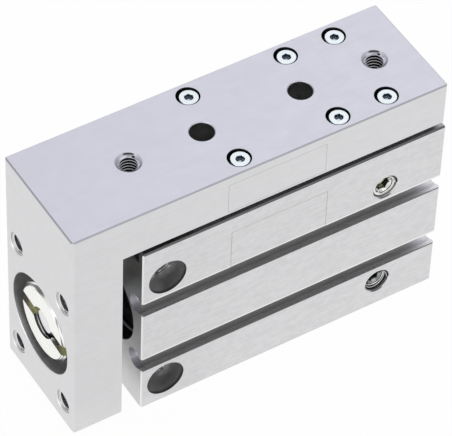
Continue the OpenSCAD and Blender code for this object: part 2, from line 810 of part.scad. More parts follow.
module front_snap_ring() {
    snap_ring(front_x + ring_depth + ring_groove_w / 2);
}

module rear_snap_ring() {
    snap_ring(rear_x - ring_depth - ring_groove_w / 2);
}

// Elastic ring that stops the piston
module cushion(x) {
    color(cushion_tan) axis_ring(cushion_od, cushion_id, x, x + cushion_t);
}

module front_cushion() {
    cushion(cap_inner_x);
}

module rear_cushion() {
    cushion(end_cap_inner_x - cushion_t);
}

module end_cap() {
    color(aluminium) difference() {
        union() {
            axis_cyl(cap_nose_d, end_cap_inner_x, end_cap_rear_x);
            axis_cyl(bore_d - 2 * fit_clear, end_nose_x, end_cap_rear_x);
            axis_cyl(seat_d - 2 * fit_clear, end_cap_seat_x, end_cap_rear_x);
        }
        axis_ring(bore_d + groove_cut, oring_bottom_d, end_groove_x, end_groove_x + oring_groove_w);
        axis_cyl(end_recess_d, end_cap_rear_x - end_recess_depth, rear_x);
    }
}

module end_cap_oring() {
    color(seal_black) axis_torus(bore_d / 2 - oring_wire_d / 2, oring_wire_d / 2 - oring_relief,
        end_groove_x + oring_groove_w / 2);
}

// ---- Cylinder: parts that move with the slide -----------------------------------------

module piston_rod() {
    color(steel) difference() {
        union() {
            axis_cyl(rod_tip_d, rod_tip_x, rod_tip_x + rod_tip_chamfer, rod_thread_d);
            axis_cyl(rod_thread_d, rod_tip_x + rod_tip_chamfer, rod_shoulder_x + eps);
            axis_cyl(rod_d, rod_shoulder_x, piston_front_x);
            axis_cyl(rod_neck_d, piston_front_x - eps, piston_rear_x - neck_rear_gap);
        }
        for (s = [-1, 1])
            translate([rod_shoulder_x - eps, -rod_d, axis_z + (s > 0 ? flat_af / 2 : -flat_af / 2 - rod_d)])
                cube([flat_l, 2 * rod_d, rod_d]);
    }
}

module piston_front() {
    magnet_x = piston_front_x + piston_front_l;
    color(brass) difference() {
        union() {
            axis_cyl(piston_d, piston_front_x, magnet_x);
            axis_cyl(spigot_d, magnet_x - eps, magnet_x + piston_spigot_l);
        }
        axis_ring(bore_d + groove_cut, seal_groove_d, piston_seal_x, piston_seal_x + seal_groove_w);
        axis_cyl(rod_neck_d + 2 * fit_clear, piston_front_x - eps, piston_rear_x);
    }
}

module piston_rear() {
    x1 = piston_front_x + piston_front_l + magnet_l;
    color(brass) difference() {
        axis_cyl(piston_d, x1, piston_rear_x);
        axis_cyl(spigot_d + 2 * fit_clear, x1 - eps, x1 + piston_spigot_l - magnet_l + spigot_end_gap);
        axis_cyl(rod_neck_d + 2 * fit_clear, x1, piston_rear_x + eps);
        axis_cyl(nut_recess_d, piston_rear_x - piston_nut_t, piston_rear_x + eps);
        axis_ring(bore_d + groove_cut, guide_groove_d, guide_ring_x, guide_ring_x + guide_ring_w);
    }
}

module piston_magnet() {
    x1 = piston_front_x + piston_front_l;
    color(seal_black) axis_ring(magnet_od, spigot_d + 2 * fit_clear, x1, x1 + magnet_l);
}

// Double-lip seal in the piston's groove
module piston_seals() {
    r_in = seal_groove_d / 2 + fit_clear;
    r_out = bore_d / 2 - seal_clear;
    w = seal_groove_w - piston_seal_slack;
    color(seal_black) translate([piston_seal_x + piston_seal_slack / 2, 0, axis_z])
        rotate([0, 90, 0]) rotate_extrude() polygon([
            [r_in, 0], [r_out, 0], [r_out, seal_lip_w], [r_out - seal_lip_w, w / 2],
            [r_out, w - seal_lip_w], [r_out, w], [r_in, w]
        ]);
}

module piston_guide_ring() {
    x1 = guide_ring_x + fit_clear;
    x2 = guide_ring_x + guide_ring_w - fit_clear;
    color(cushion_tan) axis_ring(bore_d - 2 * seal_clear, bore_d - 2 * guide_ring_t, x1, x2);
}

module piston_nut() {
    color(steel) translate([piston_rear_x - piston_nut_t, 0, axis_z]) rotate([0, 90, 0]) difference() {
        hex_prism(piston_nut_af, piston_nut_t - nut_rear_gap);
        translate([0, 0, -eps]) cylinder(d = rod_neck_d + 2 * fit_clear, h = piston_nut_t);
    }
}

// Flanged bush that carries the yoke with a little play
module coupling_bush() {
    color(steel) difference() {
        union() {
            axis_cyl(coupling_bush_d, bush_front_x, yoke_back_x + coupling_play + eps);
            axis_cyl(bush_flange_d, yoke_back_x + coupling_play, rod_shoulder_x);
        }
        axis_cyl(rod_thread_d + 2 * fit_clear, bush_front_x - eps, rod_shoulder_x + eps);
    }
}

// Round nut with a screwdriver slot that clamps the rod to the bush
module coupling_nut() {
    color(nickel) difference() {
        union() {
            axis_cyl(nut_face_d, nut_face_x, nut_face_x + nut_chamfer, coupling_nut_d);
            axis_cyl(coupling_nut_d, nut_face_x + nut_chamfer, bush_front_x);
        }
        axis_cyl(rod_thread_d + 2 * fit_clear, nut_face_x, bush_front_x + eps);
        axis_cyl(nut_well_d, nut_face_x - eps, nut_face_x + nut_well_depth);
        translate([nut_face_x - eps, 0, axis_z]) rotate([nut_slot_angle, 0, 0])
            translate([0, -coupling_nut_d, -nut_slot_w / 2])
                cube([nut_slot_depth, 2 * coupling_nut_d, nut_slot_w]);
    }
}

housing();
guide_block();
guide_block_screws();
guide_dowels();
guide_stop_front();
guide_stop_rear();
guide_stop_screws();
bearing_cap();
rod_bush();
rod_seal();
bearing_cap_oring();
front_snap_ring();
front_cushion();
rear_cushion();
end_cap();
end_cap_oring();
rear_snap_ring();
upper_port_plug();
lower_port_plug();
slide();
slide_rail_near();
slide_rail_far();
rail_screws();
piston_rod();
piston_front();
piston_rear();
piston_magnet();
piston_seals();
piston_guide_ring();
piston_nut();
coupling_bush();
coupling_nut();
ball_cage_near();
ball_cage_far();
balls_near();
balls_far();
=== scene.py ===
# %% [markdown]
# # A pneumatic slide table
#
# The real object is a small linear actuator. An aluminium housing holds a round air cylinder, and
# an L-shaped slide runs on a ball guide on top of it. The piston rod pushes the slide's front leg,
# the yoke. The solid shapes come ready from the CAD model, in metres, and stay where they are. This
# lesson adds what the CAD model leaves out: screw threads, the small screws' details, finishes,
# light and a camera.

# %% Load the CAD model
import json
import math

import bmesh
import bpy
from mathutils import Matrix, Vector


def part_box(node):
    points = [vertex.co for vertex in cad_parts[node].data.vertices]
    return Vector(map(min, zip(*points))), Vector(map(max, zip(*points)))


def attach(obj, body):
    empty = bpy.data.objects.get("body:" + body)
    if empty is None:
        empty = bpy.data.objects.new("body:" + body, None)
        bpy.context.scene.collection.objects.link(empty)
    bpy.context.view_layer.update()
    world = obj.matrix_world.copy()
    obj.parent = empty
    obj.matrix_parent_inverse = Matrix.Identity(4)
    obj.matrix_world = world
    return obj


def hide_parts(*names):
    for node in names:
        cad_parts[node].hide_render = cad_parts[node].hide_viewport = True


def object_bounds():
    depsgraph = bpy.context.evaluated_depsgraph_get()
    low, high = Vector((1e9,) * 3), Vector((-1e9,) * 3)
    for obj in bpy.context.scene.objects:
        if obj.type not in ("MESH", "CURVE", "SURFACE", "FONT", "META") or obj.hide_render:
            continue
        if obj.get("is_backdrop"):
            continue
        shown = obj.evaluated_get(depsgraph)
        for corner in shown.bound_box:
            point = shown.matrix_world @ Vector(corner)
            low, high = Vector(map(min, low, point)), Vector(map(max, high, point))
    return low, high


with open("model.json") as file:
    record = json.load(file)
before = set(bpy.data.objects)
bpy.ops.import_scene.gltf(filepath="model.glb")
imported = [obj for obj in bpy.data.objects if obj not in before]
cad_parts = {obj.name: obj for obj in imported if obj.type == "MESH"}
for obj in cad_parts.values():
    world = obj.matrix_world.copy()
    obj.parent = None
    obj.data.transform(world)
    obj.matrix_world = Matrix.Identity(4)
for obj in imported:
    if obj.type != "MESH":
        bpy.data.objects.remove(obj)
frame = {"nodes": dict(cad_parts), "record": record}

cad_low, cad_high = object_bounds()
nodes = frame["nodes"]
MM = 0.001
size_mm = [round((high - low) / MM, 1) for low, high in zip(cad_low, cad_high)]
print("pieces from CAD:", len(nodes), "box in mm:", size_mm)

# %% [markdown]
# ## Places
#
# Every place is measured from the CAD model, so that nothing has to be fitted by eye. The box of a
# node gives its lowest and highest corner. The slide's box gives the table's top and the yoke's
# face, and the rod's box gives the cylinder's axis.

# %% Measure the pieces that the new details sit on
def corners(name):
    low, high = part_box(name)
    return [v / MM for v in low], [v / MM for v in high]


slide_low, slide_high = corners("slide")
housing_low, housing_high = corners("housing")
rod_low, rod_high = corners("piston_rod")
nut_low = corners("coupling_nut")[0]
yoke_x, slide_end_x = slide_low[0], slide_high[0]
near_y, far_y, top_z = slide_low[1], slide_high[1], slide_high[2]
front_x, rear_x, housing_top = housing_low[0], housing_high[0], housing_high[2]
axis_z = (rod_low[2] + rod_high[2]) / 2
print("yoke face x %.2f, table top z %.2f, axis z %.2f" % (yoke_x, top_z, axis_z))

# %% [markdown]
# A box says nothing about the holes and slots that are cut into a piece. Their places are repeated
# here from the part's drawing, in millimetres from the faces measured above.

# %% Repeat the drawing's places of holes and slots
plate_z = corners("slide_rail_near")[1][2]
table_hole_x = (yoke_x + 17.7, yoke_x + 67.7)
yoke_hole_y, yoke_hole_z = 8.0, (axis_z - 13.0, axis_z + 13.0)
sensor_slot_z, slot_half, slot_reach = (11.6, 26.3), 1.6, 2.3
sink_x, sink_r, sink_depth, sink_z = front_x + 5.0, 3.75, 4.4, (5.5, 32.5)
table_film = ((yoke_x + 30.7, 42.4), (yoke_x + 50.6, 49.2))
housing_film = ((front_x + 17.8, 27.9), (front_x + 37.5, 36.85))
print("plate underside z %.2f, counterbores at x %.2f" % (plate_z, sink_x))

# %% [markdown]
# ## Camera
#
# A long lens from the front left, well above the object, shows the table's top, its near side and
# the yoke's face together, and keeps parallel edges nearly parallel. Its turn is written as three
# directions: to the right in the view, down in it, and forward from the lens to the object. An
# aimed camera would need only a target, but the three directions also hold its small roll.

# %% Place the camera
def make_camera(place_mm, right, down, forward, lens):
    data = bpy.data.cameras.new("camera")
    data.sensor_width, data.sensor_fit, data.lens = 36, "HORIZONTAL", lens
    data.clip_start, data.clip_end = 0.05, 10
    camera = bpy.data.objects.new("camera", data)
    bpy.context.scene.collection.objects.link(camera)
    turn = Matrix((right, [-v for v in down], [-v for v in forward])).transposed()
    camera.matrix_world = Matrix.Translation(Vector(place_mm) * MM) @ turn.to_4x4()
    bpy.context.scene.camera = camera
    return camera


camera = make_camera(
    place_mm=(-229.949, -350.906, 480.559), right=(0.852705, -0.521605, 0.028681),
    down=(-0.366943, -0.637138, -0.677797), forward=(0.371815, 0.567437, -0.734690), lens=277.64)
print("camera is %.0f mm from the middle" % ((camera.location - Vector((0, 0, 0.025))).length / MM))

# %% [markdown]
# ## Node shorthand
#
# Materials, the world and the growing of details are all node trees. Five short helpers keep them
# readable. `plug` puts a value or another node's result into a socket, and `add` makes a node and
# plugs its sockets. `calc` does a sum, and `blend` mixes two colours. `ramp` turns a number into a
# soft step, which rises unless it is told to fall.

# %% Helpers for node trees
FALLING = (1.0, 0.0)


def plug(tree, socket, value):
    if isinstance(value, bpy.types.NodeSocket):
        tree.links.new(value, socket)
    elif isinstance(value, (tuple, list)) and len(value) == 3 and socket.type == "RGBA":
        socket.default_value = (*value, 1)
    else:
        socket.default_value = value


def add(tree, kind, settings=None, **sockets):
    made = tree.nodes.new(kind)
    for key, value in (settings or {}).items():
        setattr(made, key, value)
    for key, value in sockets.items():
        numbered = key[0] == "i" and key[1:].isdigit()
        plug(tree, made.inputs[int(key[1:]) if numbered else key.replace("_", " ")], value)
    return made


def calc(tree, operation, a, b=0.0, c=0.0):
    return add(tree, "ShaderNodeMath", {"operation": operation}, i0=a, i1=b, i2=c).outputs[0]


def blend(tree, amount, a, b):
    return add(tree, "ShaderNodeMix", {"data_type": "RGBA"}, i0=amount, i6=a, i7=b).outputs[2]


def ramp(tree, value, low, high, to_low=0.0, to_high=1.0):
    return add(tree, "ShaderNodeMapRange", {"interpolation_type": "SMOOTHSTEP"},
               i0=value, i1=low, i2=high, i3=to_low, i4=to_high).outputs[0]


print("node shorthand ready")

# %% [markdown]
# ## Studio
#
# Metal shows what is around it more than it shows the lamps, so the surroundings matter most. The
# object stands on a white floor in a white room. Light Path tells the world and the floor who is
# looking. A camera sees plain white, a shiny surface sees pale grey above and white below, and
# everything else gets softer light. Brighter lamps would make the background white too, but would
# burn out the pale metal.

# %% The world: white to look at, soft as light
WORLD_LIGHT, SHINE_LIGHT, FLOOR_GLOW = 0.75, 0.8, 0.97


def looked_at(tree):
    path = add(tree, "ShaderNodeLightPath")
    return path, calc(tree, "MAXIMUM", path.outputs["Is Camera Ray"], path.outputs["Is Glossy Ray"])


def plain_view():
    scene = bpy.context.scene
    scene.view_settings.view_transform = "Standard"
    scene.world = bpy.data.worlds.new("studio")
    scene.world.use_nodes = True
    tree = scene.world.node_tree
    light = tree.nodes["Background"]
    light.inputs["Color"].default_value = (0.95, 0.97, 1.0, 1)
    light.inputs["Strength"].default_value = WORLD_LIGHT
    path, eye = looked_at(tree)
    white = calc(tree, "MULTIPLY_ADD", path.outputs["Is Camera Ray"], 1 - SHINE_LIGHT, SHINE_LIGHT)
    seen = add(tree, "ShaderNodeBackground", Color=(1, 1, 1), Strength=white)
    choose = add(tree, "ShaderNodeMixShader", i0=eye, i1=light.outputs[0], i2=seen.outputs[0])
    tree.links.new(choose.outputs[0], tree.nodes["World Output"].inputs["Surface"])


plain_view()
print("world light", WORLD_LIGHT)

# %% [markdown]
# The floor mixes plain white paint with a glow of strength 1. The little paint that is left keeps
# the object's soft shadow.

# %% The floor
def white_floor():
    half = 3
    square = [(-half, -half, 0), (half, -half, 0), (half, half, 0), (-half, half, 0)]
    mesh = bpy.data.meshes.new("floor")
    mesh.from_pydata(square, [], [(0, 1, 2, 3)])
    floor = bpy.data.objects.new("floor", mesh)
    bpy.context.scene.collection.objects.link(floor)
    material = bpy.data.materials.new("floor_white")
    material.use_nodes = True
    tree = material.node_tree
    coat = tree.nodes["Principled BSDF"]
    coat.inputs["Base Color"].default_value = (0.86, 0.86, 0.86, 1)
    coat.inputs["Roughness"].default_value = 0.9
    glow = add(tree, "ShaderNodeEmission")
    _, eye = looked_at(tree)
    choose = add(tree, "ShaderNodeMixShader", i0=calc(tree, "MULTIPLY", eye, FLOOR_GLOW),
                 i1=coat.outputs[0], i2=glow.outputs[0])
    tree.links.new(choose.outputs[0], tree.nodes["Material Output"].inputs["Surface"])
    mesh.materials.append(material)
    floor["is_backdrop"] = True


white_floor()
print("floor glow", FLOOR_GLOW)

# %% [markdown]
# Three large, weak lamps add a slow change of tone along the faces. A large lamp makes a soft
# highlight, as a light tent does.

# %% The lamps
def soft_lamp(name, place_mm, size_mm, power, aim_mm=(0, 0, 20)):
    data = bpy.data.lights.new(name, "AREA")
    data.shape, data.size, data.energy = "SQUARE", size_mm * MM, power
    lamp = bpy.data.objects.new(name, data)
    bpy.context.scene.collection.objects.link(lamp)
    lamp.location = Vector(place_mm) * MM
    lamp.rotation_euler = (Vector(aim_mm) - Vector(place_mm)).to_track_quat("-Z", "Y").to_euler()


soft_lamp("overhead", (450, 300, 800), 700, 0.55)
soft_lamp("left", (-700, -300, 350), 600, 1.3)
soft_lamp("front", (150, -800, 260), 600, 0.8)

# %% [markdown]
# ## Coats
#
# One machined piece has many finishes: a ground top and blasted sides. Its material also holds
# painted light: painted shade in its bores and pockets, and painted highlights and painted dark
# lines on its broken edges. The piece stays one mesh, so its material has to know where it is. A
# coat keeps the colour so far, and paints the next one on through a mask. A mask comes from a box
# in the object, from the way a face looks, from a band round a hole, or from several of them
# together. A separate material for each face would do too, but the CAD mesh is not to be changed.

# %% A coat: a colour painted layer by layer
class Coat:
    def __init__(self, tree, look):
        self.tree, self.look = tree, look
        self.place = add(tree, "ShaderNodeTexCoord").outputs["Object"]
        self.at = dict(zip("xyz", add(tree, "ShaderNodeSeparateXYZ", i0=self.place).outputs))
        normal = add(tree, "ShaderNodeNewGeometry").outputs["True Normal"]
        self.normal = dict(zip("xyz", add(tree, "ShaderNodeSeparateXYZ", i0=normal).outputs))

    def paint(self, mask, share, color):
        if isinstance(color, float):
            color = (color, color, color)
        self.look = blend(self.tree, calc(self.tree, "MULTIPLY", mask, share), self.look, color)

    def grey(self, value):
        color = add(self.tree, "ShaderNodeCombineColor", Red=value, Green=value, Blue=value)
        return color.outputs[0]

    def both(self, *masks):
        found = masks[0]
        for mask in masks[1:]:
            found = calc(self.tree, "MULTIPLY", found, mask)
        return found

    def either(self, first, second):
        return calc(self.tree, "MAXIMUM", first, second)

    def rest(self, mask):
        return calc(self.tree, "SUBTRACT", 1.0, mask)

    def box(self, low_mm, high_mm, soft_mm=0.02):
        low, high = Vector(low_mm) * MM, Vector(high_mm) * MM
        away = self.place
        steps = (("SUBTRACT", (low + high) / 2), ("ABSOLUTE", 0), ("SUBTRACT", (high - low) / 2))
        for operation, by in steps:
            node = add(self.tree, "ShaderNodeVectorMath", {"operation": operation}, i0=away)
            if by:
                node.inputs[1].default_value = by
            away = node.outputs[0]
        x, y, z = add(self.tree, "ShaderNodeSeparateXYZ", i0=away).outputs
        outside = calc(self.tree, "MAXIMUM", calc(self.tree, "MAXIMUM", x, y), z)
        return ramp(self.tree, outside, -soft_mm * MM, soft_mm * MM, *FALLING)

    def along(self, axis, low_mm, high_mm, start=0.0, end=1.0):
        return ramp(self.tree, self.at[axis], low_mm * MM, high_mm * MM, start, end)

    def looks(self, axis, low, high, start=0.0, end=1.0):
        return ramp(self.tree, self.normal[axis], low, high, start, end)

    def slanted(self, axis):
        size = calc(self.tree, "ABSOLUTE", self.normal[axis])
        return self.both(ramp(self.tree, size, 0.25, 0.4),
                         ramp(self.tree, size, 0.93, 0.98, *FALLING))

    def wall_along(self, axis):
        size = calc(self.tree, "ABSOLUTE", self.normal[axis])
        return ramp(self.tree, size, 0.25, 0.4, *FALLING)

    def frame(self, film, y_low, y_high, width_mm=0.1):
        (x0, z0), (x1, z1) = film
        outer = self.box((x0, y_low, z0), (x1, y_high, z1))
        inner = self.box((x0 + width_mm, y_low, z0 + width_mm),
                         (x1 - width_mm, y_high, z1 - width_mm))
        return calc(self.tree, "SUBTRACT", outer, inner)

    def length(self, a, b):
        squares = [calc(self.tree, "MULTIPLY", v, v) for v in (a, b)]
        return calc(self.tree, "SQRT", calc(self.tree, "ADD", *squares))

    def band(self, radius, rise_mm, fall_mm):
        rise, fall = [[v * MM for v in edge] for edge in (rise_mm, fall_mm)]
        return self.both(ramp(self.tree, radius, *rise), ramp(self.tree, radius, *fall, *FALLING))

    def waves(self, value, per_mm):
        angle = calc(self.tree, "MULTIPLY", value, 2 * math.pi * per_mm / MM)
        return calc(self.tree, "SINE", angle)

    def speckle(self, scale, detail=2.0):
        noise = add(self.tree, "ShaderNodeTexNoise", Vector=self.place, Scale=scale, Detail=detail)
        return noise.outputs["Fac"]


print("coats ready")

# %% [markdown]
# ## Grain
#
# Milled and drawn metal has a grain: fine lines one way, and a slow drift of tone over the surface.
# Both come from noise on the object's own coordinates, and stretching the noise makes lines of it.
# The grain changes the colour and the roughness a little, and lifts the surface by a few hundredths
# of a millimetre.

# %% A grain that every metal here uses
def grain(tree, place, lines_per_mm, drift_mm=4.0):
    lines = add(tree, "ShaderNodeMapping", Vector=place)
    lines.inputs["Scale"].default_value = [v / MM for v in lines_per_mm]
    fine = add(tree, "ShaderNodeTexNoise", Vector=lines.outputs[0], Scale=1.0, Detail=3.0,
               Roughness=0.6)
    slow = add(tree, "ShaderNodeTexNoise", Vector=place, Scale=1 / (drift_mm * MM), Detail=2.0)
    return fine.outputs["Fac"], slow.outputs["Fac"]


def metal(name, color, roughness=0.4, lines=(0.2, 3.0, 3.0), drift_mm=4.0, tone=0.08, bump=0.15,
          metallic=1.0, touch=None):
    material = bpy.data.materials.new(name)
    material.use_nodes = True
    tree = material.node_tree
    shader = tree.nodes["Principled BSDF"]
    shader.inputs["Metallic"].default_value = metallic
    coat = Coat(tree, None)
    fine, slow = grain(tree, coat.place, lines, drift_mm)
    mixed = calc(tree, "ADD", calc(tree, "MULTIPLY", fine, 0.6), calc(tree, "MULTIPLY", slow, 0.4))
    dark = [v * (1 - tone) for v in color]
    bright = [min(1.0, v * (1 + tone)) for v in color]
    coat.look = blend(tree, ramp(tree, mixed, 0.35, 0.65), dark, bright)
    coat.rough = ramp(tree, mixed, 0.3, 0.7, roughness * 0.85, roughness * 1.15)
    coat.height = fine
    if touch:
        touch(coat)
    plug(tree, shader.inputs["Base Color"], coat.look)
    plug(tree, shader.inputs["Roughness"], coat.rough)
    bumped = add(tree, "ShaderNodeBump", Strength=bump, Distance=0.03 * MM, Height=coat.height)
    tree.links.new(bumped.outputs["Normal"], shader.inputs["Normal"])
    return material


def give(name, material):
    slots = nodes[name].data.materials
    slots.clear()
    slots.append(material)


print("grain ready")

# %% [markdown]
# ## Slide
#
# The slide is milled from one aluminium block and anodised clear. Its ground top is painted a
# little cooler and darker than its blasted sides, as a painted reflection of the light above it,
# and its broken edges are painted as thin darker lines of shade. A clear film that carries a label
# leaves only a faint outline on the near side, and the label itself is left bare.
# Bores and pockets are painted dark: painted shade, because little light gets into them. A mask
# that goes `HOLE_REACH` millimetres each way from a hole's middle takes in the whole hole.

# %% Outside of the slide
TOP_REFLECTION_TINT, EDGE_SHADE_LINE, POCKET_EDGE_SHADE = (0.645, 0.65, 0.742), (0.38, 0.38, 0.43), (0.54, 0.54, 0.62)
FILM_EDGE, HOLE_REACH = (0.30, 0.28, 0.28), 2.6


def slide_outside(coat):
    # Painted reflection: the top face is painted cooler and darker than the sides.
    coat.paint(coat.looks("z", 0.9, 0.97), 0.9, TOP_REFLECTION_TINT)
    coat.paint(coat.frame(table_film, near_y - 1, near_y + 0.05), 0.6, FILM_EDGE)
    inner = coat.box((yoke_x + 1, near_y + 0.9, plate_z), (slide_end_x - 1, far_y - 0.9, top_z + 1))
    rim = coat.box((yoke_x - 1, near_y - 1, plate_z - 2), (slide_end_x + 1, far_y + 1, top_z + 1))
    # Painted shade: chamfers that look up are painted as dark lines, darker at the outer edges than
    # round the pockets.
    chamfer = coat.both(coat.slanted("z"), coat.looks("z", 0.2, 0.3))
    coat.paint(coat.both(chamfer, rim, coat.rest(inner)), 0.9, EDGE_SHADE_LINE)
    coat.paint(coat.both(chamfer, inner), 0.9, POCKET_EDGE_SHADE)
    for z in yoke_hole_z:
        yoke_mouths(coat, z)


def yoke_mouths(coat, z):
    side = yoke_hole_y + 2.5
    pair = coat.box((yoke_x - 0.1, -side, z - HOLE_REACH), (yoke_x + 1, side, z + HOLE_REACH))
    mouths = coat.both(pair, coat.slanted("x"))
    dy = calc(coat.tree, "SUBTRACT", calc(coat.tree, "ABSOLUTE", coat.at["y"]), yoke_hole_y * MM)
    dz = calc(coat.tree, "SUBTRACT", coat.at["z"], z * MM)
    radius = coat.length(dy, dz)
    # Painted highlight on the chamfers round the yoke's threaded holes, with a thin painted dark
    # line of shade on them.
    coat.paint(mouths, 0.9, 0.76)
    line = coat.band(radius, (2.04, 2.10), (2.18, 2.24))
    coat.paint(coat.both(mouths, line), 0.9, 0.36)


print("edge line", EDGE_SHADE_LINE, "hole reach", HOLE_REACH)

# %% [markdown]
# The bores of the rail screws are painted darker the deeper they go, as painted shade. The two
# plain holes go through to the pale guide below, and are painted lighter inside than the
# counterbores of the rail screws, as painted light from the guide. At each thread of the table, the
# first groove runs out through the chamfer, and its shade is painted there as a short dark arc.

# %% Painted light and shade inside the slide's bores and pockets, and on its underside
def slide_inside(coat):
    inset, behind_yoke = 0.3, yoke_x + 12
    low = (behind_yoke, near_y + inset, plate_z + inset)
    high = (slide_end_x - inset, far_y - inset, top_z - 0.01)
    # Painted shade: the walls of the bores and pockets are painted nearly black.
    coat.paint(coat.both(coat.box(low, high), coat.wall_along("z")), 0.95, (0.03, 0.03, 0.035))
    access = coat.box((low[0], -HOLE_REACH, low[2]), (high[0], HOLE_REACH, high[2]))
    # Painted light: the walls of the two plain holes are painted lighter the deeper they go.
    wall = coat.along("z", top_z - 3.5, top_z - 0.5, 0.72, 0.28)
    coat.paint(coat.both(access, coat.wall_along("z")), 0.95, coat.grey(wall))
    # Painted shade deeper down in the other bores.
    deep = coat.box(low, (*high[:2], top_z - 1))
    coat.paint(coat.both(deep, coat.rest(access)), 0.5, (0.10, 0.10, 0.11))
    # Painted shade on the walls of the yoke's holes and pockets.
    leg = coat.box((yoke_x + 0.18, near_y + inset, 2.0),
                   (yoke_x + 9.7, far_y - inset, top_z - inset))
    coat.paint(coat.both(leg, coat.wall_along("x")), 0.9, (0.47, 0.47, 0.48))
    # Painted shade on faces that look down.
    coat.paint(coat.looks("z", -0.97, -0.9, *FALLING), 0.85, (0.08, 0.08, 0.085))


def first_grooves(coat, toward=(0.5, 0.866)):
    for hole_x in table_hole_x:
        dx = calc(coat.tree, "SUBTRACT", coat.at["x"], hole_x * MM)
        radius = coat.length(dx, coat.at["y"])
        ahead = calc(coat.tree, "ADD", calc(coat.tree, "MULTIPLY", dx, toward[0]),
                     calc(coat.tree, "MULTIPLY", coat.at["y"], toward[1]))
        arc = ramp(coat.tree, calc(coat.tree, "DIVIDE", ahead, radius), 0.84, 0.96)
        band = coat.band(radius, (2.03, 2.10), (2.28, 2.36))
        chamfer = coat.box((hole_x - HOLE_REACH, -HOLE_REACH, top_z - 0.45),
                           (hole_x + HOLE_REACH, HOLE_REACH, top_z - 0.02))
        # Painted shade of the groove's run-out: a short dark arc on the chamfer.
        coat.paint(coat.both(chamfer, arc, band), 0.95, 0.03)


def slide_touch(coat):
    slide_outside(coat)
    slide_inside(coat)
    first_grooves(coat)


slide_finish = metal("slide_aluminium", (0.72, 0.72, 0.73), 0.42, (0.25, 2.2, 2.2), 2.5,
                     tone=0.03, bump=0.03, touch=slide_touch)
give("slide", slide_finish)
print("slide finished")

# %% [markdown]
# ## Housing
#
# The housing is drawn through a die, so its grain runs along its length, and its two ends are
# milled. The front end stands in the shade of the yoke, and that shade is painted on, darker
# towards the guide channel. Its near edges are broken with a file. The ones that look down carry
# painted highlights as bright lines, and the one that looks up is painted dark as painted shade,
# like the top of the lip under the table.

# %% Outside of the housing
def housing_outside(coat):
    coat.paint(coat.frame(housing_film, near_y - 1, near_y + 0.05), 0.75, (0.28, 0.27, 0.27))
    # Painted shade on the top of the lip, under the table.
    lip = coat.box((front_x - 1, near_y + 0.02, housing_top - 0.05),
                   (rear_x + 1, far_y - 0.02, housing_top + 1))
    coat.paint(lip, 0.9, (0.35, 0.35, 0.36))
    near = coat.box((front_x - 1, near_y - 1, -1), (rear_x + 1, near_y + 0.31, housing_top + 1))
    filed = coat.both(coat.slanted("y"), near)
    # Painted shade on the filed edge that looks up, and painted highlights on the ones that look
    # down.
    coat.paint(coat.both(filed, coat.looks("z", 0.2, 0.3)), 0.95, (0.11, 0.11, 0.115))
    coat.paint(coat.both(filed, coat.looks("z", -0.3, -0.2, *FALLING)), 0.9, 0.97)
    # Painted highlight on the upright front edge, brightest along its first 0.15 mm.
    upright, split = coat.both(filed, coat.slanted("x")), (front_x + 0.15, front_x + 0.2)
    coat.paint(coat.both(upright, coat.along("x", *split, *FALLING)), 0.9, 0.90)
    coat.paint(coat.both(upright, coat.along("x", *split)), 0.9, 0.74)


def front_end(coat):
    end = coat.box((front_x - 0.1, near_y + 0.3, -1), (front_x + 0.1, far_y, housing_top + 5))
    face = coat.both(coat.looks("x", -0.95, -0.9, *FALLING), end)
    # Painted shade of the yoke on the front face: darker towards the top, and a little darker all
    # over.
    coat.paint(coat.both(face, coat.along("z", 22, 36)), 0.6, (0.20, 0.195, 0.175))
    coat.paint(face, 0.3, (0.52, 0.515, 0.48))


print("front end at x %.1f" % front_x)

# %% [markdown]
# Inside, the bore is painted nearly black as painted shade. Each counterbore is painted with a dark
# rim and a wall that lightens with depth, which is painted shade, and a floor with painted glints
# on the cutter's marks. The cutter turns round the hole, so its marks are arcs: a sine of the
# distance from the hole's middle, broken up by noise. Each sensor slot has a narrow mouth and a
# round part behind it. Their tones are painted light and shade: the one that looks up is painted
# lighter, and the one that hangs in the slot's own shade is painted darker.

# %% Inside of the housing
def cutter_mark_glints(coat, arcs_per_mm=1.15):
    middle, half = (sink_z[0] + sink_z[1]) / 2 * MM, (sink_z[1] - sink_z[0]) / 2 * MM
    dx = calc(coat.tree, "SUBTRACT", coat.at["x"], sink_x * MM)
    dz = calc(coat.tree, "ABSOLUTE", calc(coat.tree, "SUBTRACT", coat.at["z"], middle))
    radius = coat.length(dx, calc(coat.tree, "SUBTRACT", dz, half))
    bent = calc(coat.tree, "MULTIPLY_ADD", coat.speckle(450.0), 0.5 * MM, radius)
    wave = coat.waves(bent, arcs_per_mm)
    broken = ramp(coat.tree, coat.speckle(1000.0, 1.0), 0.43, 0.58)
    inner = ramp(coat.tree, radius, (sink_r - 0.22) * MM, (sink_r - 0.06) * MM, *FALLING)
    return coat.both(ramp(coat.tree, wave, -0.3, 0.9), coat.both(broken, inner))


def counterbores(coat):
    left, right, bottom, top = front_x + 0.3, sink_x + sink_r + 0.75, 1, 37
    floor_y = near_y + sink_depth
    walls = coat.box((left, near_y + 0.02, bottom), (right, floor_y - 0.01, top))
    # Painted shade: the counterbore walls are dark at the rim and lighter deeper in.
    coat.paint(walls, 0.95, coat.grey(coat.along("y", near_y + 0.10, near_y + 1.0, 0.10, 0.66)))
    floors = coat.box((left, floor_y - 0.03, bottom), (right, floor_y + 0.03, top))
    marks = blend(coat.tree, cutter_mark_glints(coat), (0.14, 0.14, 0.14), (1.0, 1.0, 1.0))
    # Painted glints on the cutter's marks on each floor.
    coat.paint(coat.both(floors, coat.looks("y", -0.95, -0.9, *FALLING)), 0.95, marks)
    # Painted shade in the through hole behind each floor.
    coat.paint(coat.box((left, floor_y + 0.05, bottom), (right, far_y - 1, top)), 0.8, 0.10)


